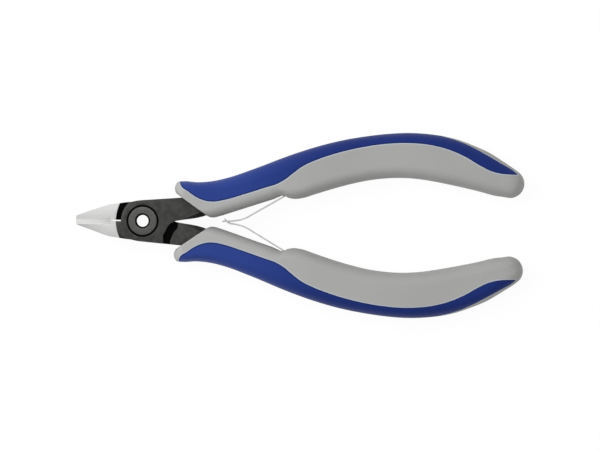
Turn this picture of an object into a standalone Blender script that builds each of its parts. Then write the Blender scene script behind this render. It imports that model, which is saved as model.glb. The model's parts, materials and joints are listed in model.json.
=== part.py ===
"""Flush cut pliers for electronics and 3D printing work, 125 mm long, built as an assembly.

Two forged steel halves cross in a lap joint and turn on a hollow screw with a ring nut. Each half
carries a two-colour moulded grip, and each grip holds the foot of a leaf spring. The two leaves
hook into each other near the joint and push the handles apart.

The pliers lie flat with the jaws towards -X and the handles towards +X. Shapes are drawn in
millimetres in the tool frame: origin on the joint's axis, halfway through the thickness, +Z towards
the side that is drawn as the front. The upper handle is the one on the +Y side.
"""

import math

import bmesh
import bpy
from mathutils import Matrix, Vector

MM = 0.001

# Overall sizes, in millimetres.
JAW_REACH = 18.6  # joint axis to the tips of the jaws
HANDLE_REACH = 106.4  # joint axis to the ends of the grips
GRIP_THICKNESS = 11.0
HEAD_THICKNESS = 7.0
TANG_THICKNESS = 4.0
HALF_HEAD = HEAD_THICKNESS / 2
HALF_GRIP = GRIP_THICKNESS / 2

# Clearances, in millimetres.
LAP_GAP = 0.1  # between the two sliding faces of the lap joint
EDGE_GAP = 0.06  # between the closed cutting edges
JOINT_CLEARANCE = 0.1  # around the screw's shank
MOULD_GAP = 0.3  # between mouldings, and between a moulding and the steel
MOUTH_GAP = 0.2  # between the head and the grip's mouth

# The hollow joint screw and its ring nut, in millimetres.
BORE_RADIUS = 1.65
BORE_MOUTH_RADIUS = 2.1
SHANK_RADIUS = 3.0
FLANGE_RADIUS = 3.95
FLANGE_THICKNESS = 1.15
FLANGE_SUNK = 0.05
COUNTERBORE_RADIUS = 4.4
COUNTERBORE_DEPTH = 1.3
SPANNER_SLOT = (0.9, 0.6)  # width and depth of the nut's two slots
ROUND_STEPS = 48

# The lap joint seen from the front, in millimetres.
PLATE_CENTRE_X = 1.0  # the plate's front edge is an arc about this point
PLATE_RADIUS = 7.0
SHOULDER_CENTRE_X = 3.9  # the jaw's back edge is an arc about this point
SHOULDER_RADIUS = 11.3
RELIEF_START_X = -8.6  # the cutting edges end here, and a thin slot follows
RELIEF_HALF = 0.18

# The jaws, in millimetres.
JAW_ROOT_Z = 2.85  # front and back faces at the root
JAW_TIP_Z = 1.1  # and at the tips
FACET_WIDTH = 1.2  # shallow facet beside each cutting edge, on the front
FACET_DEPTH = 0.15
HOLLOW_HALF_ANGLE = math.radians(20)  # the wedge-shaped hollow behind the edges
HOLLOW_START_X = -8.9
EDGE_LAND = 0.1  # steel between the facets' bottom and the hollow's ridge

# The grips, in millimetres.
INLAY_DEPTH = 1.4
SPINE_OVERLAP = 0.5  # how far the core reaches past the grip's outer edge where the inlay is two prongs
SECTION_POINTS = 16
EDGE_ROUNDING = 3.6  # how far the rounding of a section's edges reaches over the flat faces
EDGE_POWER = 2.2  # of the rounding's superellipse
TAIL_CENTRE = (102.4, 12.15)
TAIL_RADIUS = 4.0
TAIL_AXIS = math.radians(-25.5)
TAIL_HALF_ARC = math.radians(80.5)

# The opening spring, in millimetres.
LEAF_THICKNESS = 0.45
LEAF_WIDTH = 3.2
TONGUE_WIDTH = 1.3
EYE_WIDTH = 1.9
EYE_ENDS_X = (22.85, 24.5)
LEAF_ROOT = (39.6, 7.62)  # where a leaf leaves its grip
LEAF_ANGLE = math.radians(30.4)
FOOT_LENGTH = 3.3
FOOT_SWING = math.radians(14)  # how far the foot turns in its pocket
FOOT_END_GAP = 0.4  # between the foot's end and the pocket's bottom
FOOT_SIDE_GAP = 0.25  # between the foot's faces and the pocket's walls
POCKET_LEAD = 1.4  # how far the pocket's outline runs out past the grip's surface

# Where the tool frame lies: the pliers' box is centred on X and rests on Z = 0.
TOOL_X = (JAW_REACH - HANDLE_REACH) / 2
TOOL_Z = HALF_GRIP

# Half of the lap joint, from its jaw (below) to its handle (above), anticlockwise.
JAW_OUTER_EDGE = [(-18.6, -0.95), (-18.42, -1.27), (-17.0, -1.82), (-14.0, -2.88), (-11.0, -3.93)]
JAW_CORNER = [(-10.0, -4.25), (-9.2, -4.48), (-8.2, -4.63), (-7.0, -4.77)]
HEAD_EDGE = [(-4.8, -5.12), (-3.3, -5.26), (-2.5, -5.42), (-1.7, -5.6), (-0.6, -5.74), (5.8, -6.28)]
PLATE_END = [(5.85, -5.9), (5.78, -5.0), (5.75, -4.2), (6.0, -3.45), (6.4, -2.75), (6.75, -1.95), (7.2, -1.2),
             (7.75, -0.6), (8.5, -0.25)]
TANG_INNER_EDGE = [(8.75, -0.05), (9.3, 0.14), (10.0, 0.28), (11.7, 0.55), (13.4, 0.78), (15.0, 1.05),
                   (16.7, 1.48), (18.5, 2.1)]
HEAD_END = [(18.6, 2.35), (12.0, 6.78)]  # hidden in the grip's mouth
HEAD_TOP_EDGE = [(5.0, 6.21), (-0.6, 5.75), (-1.7, 5.6), (-2.5, 5.42), (-3.2, 5.24)]
PLATE_ARC = (math.radians(135), math.radians(177.5))
PLATE_CORNER = (-6.08, 0.05)  # between that arc and the slot behind the cutting edges

# The edge of a half's lower layer at its handle, where its full thickness begins.
TANG_SHOULDER = [(9.9, -0.6), (9.9, 0.8), (9.85, 1.6), (9.5, 2.2), (8.95, 2.8), (8.6, 3.4), (8.35, 4.0),
                 (8.05, 4.8), (7.8, 5.6), (7.65, 7.0)]

# The tang inside the upper grip.
TANG_LOWER = [(14.0, 2.9), (19.5, 3.8), (24.0, 5.1), (30.0, 7.2), (36.0, 9.6), (43.0, 12.4), (50.0, 14.6),
              (58.0, 16.6), (66.0, 17.7), (74.0, 17.9)]
TANG_END = [(76.4, 18.6), (77.2, 19.8), (76.4, 21.0)]
TANG_UPPER = [(74.0, 21.6), (66.0, 21.7), (58.0, 20.6), (50.0, 18.6), (43.0, 16.2), (36.0, 13.6),
              (30.0, 11.2), (24.0, 9.1), (19.0, 7.9), (12.0, 6.3)]

# Sections of the upper grip: outer edge, inner edge, half thickness.
GRIP_SECTIONS = [
    ((9.75, 7.55), (16.95, 2.6), 4.7),
    ((9.35, 7.75), (17.6, 2.0), 5.25),
    ((8.8, 9.2), (18.5, 1.45), 5.5),
    ((9.5, 10.95), (19.8, 1.28), 5.5),
    ((11.4, 11.28), (21.6, 1.72), 5.5),
    ((15.0, 11.07), (24.6, 2.7), 5.4),
    ((19.0, 11.4), (28.0, 3.84), 5.2),
    ((24.0, 12.6), (32.0, 5.2), 5.1),
    ((29.5, 14.56), (36.0, 6.53), 5.1),
    ((33.0, 15.91), (39.2, 7.55), 5.15),
    ((34.6, 16.55), (40.9, 7.05), 5.2),
    ((36.3, 17.25), (42.4, 6.86), 5.25),
    ((39.0, 18.33), (44.4, 7.1), 5.35),
    ((44.0, 20.17), (48.0, 8.24), 5.5),
    ((50.0, 22.08), (53.0, 9.86), 5.5),
    ((56.0, 23.6), (58.0, 11.27), 5.5),
    ((62.0, 24.7), (63.0, 12.4), 5.5),
    ((68.0, 25.48), (68.0, 13.04), 5.5),
    ((74.0, 25.85), (73.0, 13.21), 5.5),
    ((80.0, 25.57), (78.0, 12.85), 5.5),
    ((82.6, 25.26), (80.4, 12.5), 5.5),
    ((83.6, 25.1), (81.4, 12.34), 5.5),
    ((88.0, 24.1), (85.6, 11.57), 5.5),
    ((92.0, 22.66), (89.5, 10.77), 5.5),
    ((96.5, 20.7), (94.0, 9.77), 5.4),
    ((100.5, 18.25), (98.0, 8.75), 5.2),
]
WRAP_END_X = 83.1  # the inlay wraps the outer edge up to here, then splits into two prongs
TAIL_HALF_THICKNESS = 4.9

# The inlay's border on the grip's faces, from its front tip to its tail tip, and its outer border there.
INLAY_INNER_BORDER = [(10.45, 12.6), (10.35, 10.6), (10.75, 9.75), (12.3, 8.65), (15.0, 6.85), (17.4, 5.93),
                      (19.6, 5.72), (22.5, 6.2), (28.0, 7.85), (34.0, 9.85), (37.5, 11.05), (39.5, 12.2),
                      (42.0, 14.19), (44.5, 16.05), (48.0, 17.74), (53.0, 19.55), (60.0, 21.42), (67.0, 22.6),
                      (74.5, 23.0), (81.0, 22.38), (86.0, 21.02), (90.0, 19.27), (94.0, 16.97), (97.0, 15.55),
                      (100.0, 14.88), (102.5, 14.75), (104.5, 14.75)]
INLAY_OUTER_BORDER = [(103.0, 15.98), (99.0, 18.2), (96.0, 19.88), (93.0, 21.5), (90.0, 22.94),
                      (87.0, 24.06), (85.0, 24.66), (83.9, 25.0), (83.3, 25.6)]

# The leaves from where they leave the grip to their hooked ends: the upper one, then the lower one.
UPPER_LEAF_ROUTE = [(29.9, 1.93), (28.6, 1.25), (27.2, 0.76), (25.4, 0.46), (22.2, 0.24)]
LOWER_LEAF_ROUTE = [(29.9, -1.93), (28.6, -1.25), (27.2, -0.76), (25.6, -0.44), (24.4, -0.27), (24.0, -0.08),
                    (22.85, 0.98)]
TONGUE_START_X = 25.4


# ---- Scene, materials and objects ----


def clear_scene():
    """Removes what the startup file brought."""
    for obj in list(bpy.data.objects):
        bpy.data.objects.remove(obj)


def make_material(name, colour, roughness, metallic):
    """A Principled material; the colour is linear red, green and blue."""
    made = bpy.data.materials.new(name)
    made.use_nodes = True
    shader = made.node_tree.nodes["Principled BSDF"]
    shader.inputs["Base Color"].default_value = (*colour, 1.0)
    shader.inputs["Roughness"].default_value = roughness
    shader.inputs["Metallic"].default_value = metallic
    return made


def make_empty(name, x, y, z, parent=None):
    """An empty on a joint's axis, placed in metres in its parent's frame."""
    empty = bpy.data.objects.new(name, None)
    empty.location = (x, y, z)
    empty.parent = parent
    bpy.context.scene.collection.objects.link(empty)
    return empty


def make_object(name, mesh, material=None, parent=None, flipped=False, smooth_under=30):
    """Links an object. A flipped one is turned half round the tool's long axis."""
    obj = bpy.data.objects.new(name, mesh)
    obj.parent = parent
    if flipped:
        obj.rotation_euler = (math.pi, 0.0, 0.0)
    bpy.context.scene.collection.objects.link(obj)
    if material:
        mesh.materials.clear()
        mesh.materials.append(material)
        mesh.shade_smooth()
        mesh.set_sharp_from_angle(angle=math.radians(smooth_under))
    return obj


def make_cutter(name, mesh, parent):
    """A helper solid for Booleans, left out of renders and of the build."""
    cutter = make_object(name, mesh, parent=parent)
    cutter.hide_render = True
    cutter.display_type = "WIRE"
    return cutter


def add_boolean(obj, other, operation):
    modifier = obj.modifiers.new(other.name, "BOOLEAN")
    modifier.operation = operation
    modifier.solver = "EXACT"
    modifier.object = other


def baked_mesh(obj, name):
    """The object's mesh with its modifiers applied."""
    bpy.context.view_layer.update()
    graph = bpy.context.evaluated_depsgraph_get()
    mesh = bpy.data.meshes.new_from_object(obj.evaluated_get(graph))
    mesh.name = name
    return mesh


# ---- Curves in the tool frame, in millimetres ----


def smooth_curve(points, steps):
    """Points on a Catmull-Rom curve through the given ones, with that many steps to a stretch."""
    first = 2 * Vector(points[0]) - Vector(points[1])
    last = 2 * Vector(points[-1]) - Vector(points[-2])
    knots = [first, *map(Vector, points), last]
    curve = []
    for before, start, end, after in zip(knots, knots[1:], knots[2:], knots[3:]):
        for step in range(steps):
            t = step / steps
            curve.append(0.5 * ((2 * start) + (end - before) * t
                                + (2 * before - 5 * start + 4 * end - after) * t ** 2
                                + (3 * start - before - 3 * end + after) * t ** 3))
    curve.append(knots[-2])
    return curve


def arc(centre, radius, start, end, steps):
    """Points on an arc, from one angle to another."""
    angles = [start + (end - start) * step / steps for step in range(steps + 1)]
    return [Vector((centre[0] + radius * math.cos(a), centre[1] + radius * math.sin(a))) for a in angles]


def grown(outline, distance):
    """An anticlockwise outline with every edge moved outwards by a distance."""
    moved = []
    for before, here, after in zip(outline[-1:] + outline[:-1], outline, outline[1:] + outline[:1]):
        into = (Vector(here) - Vector(before)).normalized()
        out_of = (Vector(after) - Vector(here)).normalized()
        side = Vector((into.y, -into.x)) + Vector((out_of.y, -out_of.x))
        moved.append(Vector(here) + side * (2 * distance / side.length_squared))
    return moved


# ---- Solids ----


def mesh_from(bm, name):
    """Scales a bmesh from millimetres to metres and turns it into a mesh whose faces point out."""
    bmesh.ops.recalc_face_normals(bm, faces=bm.faces)
    bmesh.ops.scale(bm, vec=(MM, MM, MM), verts=bm.verts)
    mesh = bpy.data.meshes.new(name)
    bm.to_mesh(mesh)
    bm.free()
    return mesh


def prism(name, outline, low, high):
    """A plan outline extruded from one height to another."""
    bm = bmesh.new()
    base = bm.faces.new([bm.verts.new((x, y, low)) for x, y in outline])
    grown_geometry = bmesh.ops.extrude_face_region(bm, geom=[base])["geom"]
    top = [v for v in grown_geometry if isinstance(v, bmesh.types.BMVert)]
    bmesh.ops.translate(bm, vec=(0, 0, high - low), verts=top)
    return mesh_from(bm, name)


def hull(name, corners):
    """The convex solid around a few corners."""
    bm = bmesh.new()
    for corner in corners:
        bm.verts.new(corner)
    made = bmesh.ops.convex_hull(bm, input=bm.verts)
    unused = {v for v in made["geom_interior"] + made["geom_unused"] if isinstance(v, bmesh.types.BMVert)}
    bmesh.ops.delete(bm, geom=list(unused), context="VERTS")
    return mesh_from(bm, name)


def turned(name, profile):
    """A closed profile of (radius, height) points turned round the joint's axis."""
    bm = bmesh.new()
    corners = [bm.verts.new((radius, 0, height)) for radius, height in profile]
    edges = [bm.edges.new(pair) for pair in zip(corners, corners[1:] + corners[:1])]
    bmesh.ops.spin(bm, geom=corners + edges, axis=(0, 0, 1), cent=(0, 0, 0), angle=2 * math.pi,
                   steps=ROUND_STEPS, use_merge=True)
    bmesh.ops.remove_doubles(bm, verts=bm.verts, dist=1e-4)
    return mesh_from(bm, name)


def disc(name, radius, low, high):
    """A round cutter on the joint's axis."""
    bm = bmesh.new()
    place = Matrix.Translation((0, 0, (low + high) / 2))
    bmesh.ops.create_cone(bm, cap_ends=True, segments=ROUND_STEPS, radius1=radius, radius2=radius,
                          depth=high - low, matrix=place)
    return mesh_from(bm, name)


def lofted(name, rings):
    """A solid skinned over rings that have the same number of points."""
    bm = bmesh.new()
    loops = [[bm.verts.new(point) for point in ring] for ring in rings]
    for near, far in zip(loops, loops[1:]):
        for i, (a, d) in enumerate(zip(near, far)):
            bm.faces.new((a, near[i - 1], far[i - 1], d))
    bm.faces.new(loops[0])
    bm.faces.new(loops[-1])
    return mesh_from(bm, name)


# ---- The steel halves ----


def half_outline():
    """One half from the front: its jaw, its plate of the lap joint and its neck up to the grip."""
    plate_front = arc((PLATE_CENTRE_X, 0), PLATE_RADIUS, *PLATE_ARC, 12)
    slot_and_edge = [PLATE_CORNER, (PLATE_CORNER[0], -RELIEF_HALF),
                     (RELIEF_START_X + RELIEF_HALF, -RELIEF_HALF), (RELIEF_START_X, -EDGE_GAP / 2),
                     (-JAW_REACH, -EDGE_GAP / 2)]
    return [*map(Vector, JAW_OUTER_EDGE), *map(Vector, JAW_CORNER), *map(Vector, HEAD_EDGE),
            *smooth_curve(PLATE_END, 2), *map(Vector, TANG_INNER_EDGE), *map(Vector, HEAD_END),
            *map(Vector, HEAD_TOP_EDGE), *plate_front, *map(Vector, slot_and_edge)]


def shoulder_arc(half_height):
    """The jaw's round back edge from the top down, as far as that to both sides of the middle."""
    reach = math.asin(half_height / SHOULDER_RADIUS)
    return arc((SHOULDER_CENTRE_X, 0), SHOULDER_RADIUS, math.pi - reach, math.pi + reach, 14)


def lap_recess_outline():
    """What the other half's plate needs of this half's lower layer, out past both edges."""
    first, last = TANG_SHOULDER[0], TANG_SHOULDER[-1]
    return [*shoulder_arc(7.0), Vector((-4.0, -9.0)), Vector((first[0], -9.0)),
            *smooth_curve(TANG_SHOULDER, 2), Vector((last[0], 9.0)), Vector((-4.0, 9.0))]


def tang_outline():
    """The tang inside the upper grip, from the front."""
    return [*map(Vector, TANG_LOWER), *map(Vector, TANG_END), *map(Vector, TANG_UPPER)]


def neck_chamfer(name, side):
    """Cuts the neck's inner edge away towards the grip, on the front (side 1) or the back (side -1)."""
    corners = [(11.0, 0.45, 3.5), (20.0, 4.4, 3.5), (20.0, 2.5, 1.85), (11.0, -0.6, 4.2), (20.0, -0.6, 5.5),
               (20.0, 4.4, 5.5), (20.0, -0.6, 1.0), (11.0, -0.6, 3.4)]
    return hull(name, [(x, y, side * z) for x, y, z in corners])


def half_mesh(parent):
    """The blank that both halves are made from: full thickness at jaw and neck, half of it between."""
    blank = make_cutter("half_blank", prism("half_blank", half_outline(), -HALF_HEAD, HALF_HEAD), parent)
    recess = prism("lap_recess", lap_recess_outline(), -HALF_HEAD - 1, LAP_GAP / 2)
    bore = disc("joint_bore", SHANK_RADIUS + JOINT_CLEARANCE, -HALF_HEAD - 1, HALF_HEAD + 1)
    seat = disc("joint_seat", COUNTERBORE_RADIUS, HALF_HEAD - COUNTERBORE_DEPTH, HALF_HEAD + 1)
    cuts = [recess, bore, seat, neck_chamfer("neck_chamfer_front", 1), neck_chamfer("neck_chamfer_back", -1),
            jaw_face_cutter("jaw_own_face", 1, shoulder_arc(6.5)),
            jaw_face_cutter("jaw_lap_face", -1, [Vector((-5.0, 6.5)), Vector((-5.0, -6.5))])]
    for mesh in cuts:
        add_boolean(blank, make_cutter(mesh.name, mesh, parent), "DIFFERENCE")
    tang = prism("tang", tang_outline(), -TANG_THICKNESS / 2, TANG_THICKNESS / 2)
    add_boolean(blank, make_cutter("tang", tang, parent), "UNION")
    return baked_mesh(blank, "half_blank_cut")


def jaw_face_height(x):
    """Height of the jaws' front face above the middle plane; the back face is its mirror."""
    root_x = SHOULDER_CENTRE_X - SHOULDER_RADIUS
    return JAW_ROOT_Z + (JAW_TIP_Z - JAW_ROOT_Z) * (root_x - x) / (root_x + JAW_REACH)


def jaw_face_cutter(name, side, back_edge):
    """Grinds a jaw's front (side 1) or back (side -1) face down to a slope that ends at a back edge."""
    outline = [*back_edge, Vector((-JAW_REACH - 2, -6.5)), Vector((-JAW_REACH - 2, 6.5))]
    bm = bmesh.new()
    floor = [bm.verts.new((x, y, side * jaw_face_height(x))) for x, y in outline]
    roof = [bm.verts.new((x, y, side * (HALF_HEAD + 2))) for x, y in outline]
    bm.faces.new(floor)
    bm.faces.new(roof)
    for i in range(len(outline)):
        bm.faces.new((floor[i - 1], floor[i], roof[i], roof[i - 1]))
    bmesh.ops.triangulate(bm, faces=bm.faces)
    return mesh_from(bm, name)


def facet_cutter(name):
    """The shallow trough between the two front facets, whose bottom is the closed cutting edges."""
    ends = (-JAW_REACH - 1, HOLLOW_START_X)
    corners = []
    for x in ends:
        top = jaw_face_height(x)
        rise = 3 * FACET_DEPTH
        spread = FACET_WIDTH * (1 + rise / FACET_DEPTH)
        corners += [(x, 0, top - FACET_DEPTH), (x, spread, top + rise), (x, -spread, top + rise)]
    return hull(name, corners)


def hollow_cutter(name):
    """The wedge-shaped hollow behind the cutting edges; its roof line is the edges themselves."""
    corners = []
    for x in (-JAW_REACH - 1, HOLLOW_START_X):
        ridge = jaw_face_height(x) - FACET_DEPTH - EDGE_LAND
        spread = (ridge + HALF_HEAD + 1) * math.tan(HOLLOW_HALF_ANGLE)
        corners += [(x, 0, ridge), (x, spread, -HALF_HEAD - 1), (x, -spread, -HALF_HEAD - 1)]
    return hull(name, corners)


# ---- The grips ----


def tail_sections():
    """Sections round the grip's tail, which is a ball of the tail's radius drawn thin."""
    made = []
    for share in (1.0, 0.78, 0.56, 0.34, 0.12):
        half_arc = TAIL_HALF_ARC * share
        inner, outer = arc(TAIL_CENTRE, TAIL_RADIUS, TAIL_AXIS - half_arc, TAIL_AXIS + half_arc, 1)
        made.append((outer, inner, TAIL_HALF_THICKNESS * math.sin(half_arc)))
    return made


def section_ring(outer, inner, half_thickness, inset_across, inset_deep):
    """A flat-faced section with round edges between two plan points."""
    outer, inner = Vector(outer), Vector(inner)
    middle, across = (outer + inner) / 2, (outer - inner) / 2
    half_width = across.length - min(inset_across, 0.7 * across.length)
    deep = half_thickness - min(inset_deep, 0.7 * half_thickness)
    rounding = min(EDGE_ROUNDING, 0.8 * half_width)
    first = math.pi / SECTION_POINTS
    full = math.cos(first) ** (2 / EDGE_POWER)
    ring = []
    for step in range(SECTION_POINTS):
        angle = first + 2 * math.pi * step / SECTION_POINTS
        c, s = math.cos(angle), math.sin(angle)
        along = half_width - rounding + rounding * abs(c) ** (2 / EDGE_POWER) / full
        up = math.copysign(abs(s) ** (2 / EDGE_POWER), s) / full
        point = middle + across.normalized() * math.copysign(along, c)
        ring.append((point.x, point.y, deep * up))
    return ring


def grip_solid(name, inset=0.0):
    """The grip's whole outer form, or the core under its inlay, which lies an inset below the surface."""
    rings = []
    for outer, inner, half_thickness in GRIP_SECTIONS + tail_sections():
        inset_across = inset if outer[0] < WRAP_END_X or inset == 0 else -SPINE_OVERLAP
        rings.append(section_ring(outer, inner, half_thickness, inset_across, inset))
    return lofted(name, rings)


def inlay_outline():
    """The inlay from the front. It runs out past the grip's outer edge, so it wraps that edge."""
    outside = [(80.0, 32.0), (10.6, 32.0)]
    return [*smooth_curve(INLAY_INNER_BORDER, 2), *smooth_curve(INLAY_OUTER_BORDER, 2), *map(Vector, outside)]


def foot_pocket_outline():
    """The pocket that the upper leaf's foot sits in, with room for the foot to turn."""
    along = Vector((math.cos(LEAF_ANGLE), math.sin(LEAF_ANGLE)))
    aside = Vector((-along.y, along.x))
    depth = FOOT_LENGTH + FOOT_END_GAP
    half = LEAF_THICKNESS / 2 + FOOT_SIDE_GAP
    room = depth * math.tan(FOOT_SWING)
    bend = 0.4
    places = [(-POCKET_LEAD, -half), (depth, -half), (depth, half + room),
              (bend, half + bend * math.tan(FOOT_SWING)), (-POCKET_LEAD, half)]
    return [Vector(LEAF_ROOT) + along * a + aside * b for a, b in places]


def grip_meshes(parent):
    """The grip's body with its hollows, and the inlay that fills its outer side."""
    outline = inlay_outline()
    reach = HALF_GRIP + 2

    inlay = make_cutter("inlay_form", prism("inlay_form", outline, -reach, reach), parent)
    add_boolean(inlay, make_cutter("grip_form", grip_solid("grip_form"), parent), "INTERSECT")
    add_boolean(inlay, make_cutter("inlay_core", grip_solid("inlay_core", INLAY_DEPTH), parent), "DIFFERENCE")

    bed = make_cutter("inlay_bed", prism("inlay_bed", grown(outline, MOULD_GAP), -reach, reach), parent)
    bed_core = grip_solid("inlay_bed_core", INLAY_DEPTH + MOULD_GAP)
    add_boolean(bed, make_cutter("inlay_bed_core", bed_core, parent), "DIFFERENCE")

    tang_room = TANG_THICKNESS / 2 + MOULD_GAP
    tang_cavity = prism("tang_cavity", grown(tang_outline(), MOULD_GAP), -tang_room, tang_room)
    mouth_room = HALF_HEAD + MOUTH_GAP
    mouth = prism("grip_mouth", grown(half_outline(), MOUTH_GAP), -mouth_room, mouth_room)
    pocket_room = LEAF_WIDTH / 2 + MOULD_GAP
    pocket = prism("foot_pocket", foot_pocket_outline(), -pocket_room, pocket_room)

    body = make_cutter("grip_body_form", grip_solid("grip_body_form"), parent)
    add_boolean(body, bed, "DIFFERENCE")
    for mesh in (tang_cavity, mouth, pocket):
        add_boolean(body, make_cutter(mesh.name, mesh, parent), "DIFFERENCE")
    return baked_mesh(body, "grip_body"), baked_mesh(inlay, "grip_inlay")


# ---- The opening spring ----


def leaf_mesh(name, route, side):
    """A leaf's strip along its route, from its foot in the grip on the given side (1 is the upper one)."""
    root = Vector((LEAF_ROOT[0], side * LEAF_ROOT[1]))
    inwards = Vector((math.cos(LEAF_ANGLE), side * math.sin(LEAF_ANGLE)))
    centre = [root + inwards * FOOT_LENGTH, root, *smooth_curve(route, 2)]
    half = LEAF_THICKNESS / 2
    left, right = [], []
    for i, point in enumerate(centre):
        ahead = (centre[min(i + 1, len(centre) - 1)] - centre[max(i - 1, 0)]).normalized()
        left.append(point + Vector((-ahead.y, ahead.x)) * half - root)
        right.append(point - Vector((-ahead.y, ahead.x)) * half - root)
    return prism(name, left + right[::-1], -LEAF_WIDTH / 2, LEAF_WIDTH / 2)


def leaf_cutter(name, ends_x, z_range, root):
    """A block across a leaf's end, in the leaf's frame."""
    corners = [(x - root[0], y - root[1], z) for x in ends_x for y in (-3, 3) for z in z_range]
    return hull(name, corners)


# ---- The assembly ----


def build():
    clear_scene()
    dark_steel = make_material("dark_steel", (0.060, 0.060, 0.058), 0.42, 0.9)
    joint_steel = make_material("joint_steel", (0.095, 0.094, 0.090), 0.35, 0.95)
    spring_steel = make_material("spring_steel", (0.62, 0.62, 0.62), 0.22, 1.0)
    grey_plastic = make_material("grey_plastic", (0.376, 0.376, 0.366), 0.55, 0.0)
    blue_plastic = make_material("blue_plastic", (0.033, 0.060, 0.262), 0.5, 0.0)

    lower_lever = make_empty("lower_lever", TOOL_X * MM, 0.0, TOOL_Z * MM)
    upper_lever = make_empty("upper_lever", 0.0, 0.0, 0.0, lower_lever)

    # The halves share a blank. The lower handle's half is the blank turned over.
    blank = half_mesh(lower_lever)
    halves = [make_object("front_half", blank.copy(), dark_steel, upper_lever),
              make_object("rear_half", blank.copy(), dark_steel, lower_lever, flipped=True)]
    for mesh in (facet_cutter("edge_facets"), hollow_cutter("edge_hollow")):
        cutter = make_cutter(mesh.name, mesh, lower_lever)
        for half in halves:
            add_boolean(half, cutter, "DIFFERENCE")

    # The hollow screw sits in the front half's seat, and the nut in the rear half's.
    head_top = HALF_HEAD - FLANGE_SUNK
    head_under = head_top - FLANGE_THICKNESS
    flare = BORE_MOUTH_RADIUS - BORE_RADIUS
    screw_profile = [(BORE_RADIUS, -head_top + flare), (BORE_MOUTH_RADIUS, -head_top),
                     (SHANK_RADIUS, -head_top), (SHANK_RADIUS, head_under), (FLANGE_RADIUS, head_under),
                     (FLANGE_RADIUS, head_top), (BORE_MOUTH_RADIUS, head_top),
                     (BORE_RADIUS, head_top - flare)]
    make_object("joint_screw", turned("joint_screw", screw_profile), joint_steel, lower_lever)
    nut_bore = SHANK_RADIUS + JOINT_CLEARANCE
    nut_profile = [(nut_bore, -head_top), (FLANGE_RADIUS, -head_top), (FLANGE_RADIUS, -head_under),
                   (nut_bore, -head_under)]
    nut = make_object("joint_nut", turned("joint_nut", nut_profile), joint_steel, lower_lever)
    slot_half, slot_depth = SPANNER_SLOT[0] / 2, SPANNER_SLOT[1]
    slots = hull("spanner_slots", [(x, y, z) for x in (-6, 6) for y in (-slot_half, slot_half)
                                   for z in (-head_top - 1, -head_top + slot_depth)])
    add_boolean(nut, make_cutter("spanner_slots", slots, lower_lever), "DIFFERENCE")

    # Each grip is symmetrical front to back, so the lower one is the upper one turned over.
    body, inlay = grip_meshes(lower_lever)
    make_object("upper_grip_body", body, grey_plastic, upper_lever)
    make_object("upper_grip_inlay", inlay, blue_plastic, upper_lever)
    make_object("lower_grip_body", body.copy(), grey_plastic, lower_lever, flipped=True)
    make_object("lower_grip_inlay", inlay.copy(), blue_plastic, lower_lever, flipped=True)

    # The upper leaf has an eye, and the lower leaf a tongue that hooks through it.
    upper_root = (LEAF_ROOT[0], LEAF_ROOT[1])
    lower_root = (LEAF_ROOT[0], -LEAF_ROOT[1])
    upper_axis = make_empty("upper_leaf_flex", upper_root[0] * MM, upper_root[1] * MM, 0.0, upper_lever)
    lower_axis = make_empty("lower_leaf_flex", lower_root[0] * MM, lower_root[1] * MM, 0.0, lower_lever)
    upper_leaf = make_object("upper_spring_leaf", leaf_mesh("upper_spring_leaf", UPPER_LEAF_ROUTE, 1),
                             spring_steel, upper_axis)
    eye = leaf_cutter("leaf_eye", EYE_ENDS_X, (-EYE_WIDTH / 2, EYE_WIDTH / 2), upper_root)
    add_boolean(upper_leaf, make_cutter("leaf_eye", eye, upper_axis), "DIFFERENCE")
    lower_leaf = make_object("lower_spring_leaf", leaf_mesh("lower_spring_leaf", LOWER_LEAF_ROUTE, -1),
                             spring_steel, lower_axis)
    for side in (1, -1):
        name = f"tongue_side_{'front' if side > 0 else 'back'}"
        beside = leaf_cutter(name, (20.0, TONGUE_START_X), (side * TONGUE_WIDTH / 2, side * 3), lower_root)
        add_boolean(lower_leaf, make_cutter(name, beside, lower_axis), "DIFFERENCE")


build()
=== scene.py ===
# %% [markdown]
# # Flush cut pliers
# This script dresses the imported model of a pair of 125 mm flush cut pliers. The imported model gives the
# joints, the bodies and the sizes. Every surface that shows is made or finished here, piece by piece,
# and each piece but the spring's leaves then rides on the body that carries it.

import json
import math

import bmesh
import bpy
import numpy as np
from mathutils import Matrix, Vector


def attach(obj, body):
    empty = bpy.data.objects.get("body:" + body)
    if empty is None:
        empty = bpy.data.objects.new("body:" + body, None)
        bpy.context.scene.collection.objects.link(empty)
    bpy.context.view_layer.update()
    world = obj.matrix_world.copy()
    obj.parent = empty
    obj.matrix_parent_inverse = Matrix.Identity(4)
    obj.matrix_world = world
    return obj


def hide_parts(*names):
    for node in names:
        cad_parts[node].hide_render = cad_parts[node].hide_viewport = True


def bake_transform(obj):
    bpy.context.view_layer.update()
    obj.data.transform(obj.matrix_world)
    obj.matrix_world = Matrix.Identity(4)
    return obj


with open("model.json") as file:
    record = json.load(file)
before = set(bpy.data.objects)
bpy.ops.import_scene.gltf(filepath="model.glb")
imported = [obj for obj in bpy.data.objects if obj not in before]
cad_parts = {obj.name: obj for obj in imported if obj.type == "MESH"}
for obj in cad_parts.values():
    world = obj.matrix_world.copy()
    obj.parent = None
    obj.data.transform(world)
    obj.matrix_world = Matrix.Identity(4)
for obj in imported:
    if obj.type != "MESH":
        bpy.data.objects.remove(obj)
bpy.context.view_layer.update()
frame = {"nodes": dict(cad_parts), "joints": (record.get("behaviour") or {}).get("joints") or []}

# %% [markdown]
# ## The tool frame
# A toolmaker draws pliers from the joint outwards. Shapes below are in millimetres, with the origin on
# the joint's axis, halfway through the thickness: the jaws point to -X and the handles to +X. The joint's
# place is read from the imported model, so nothing has to be fitted afterwards.

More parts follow.
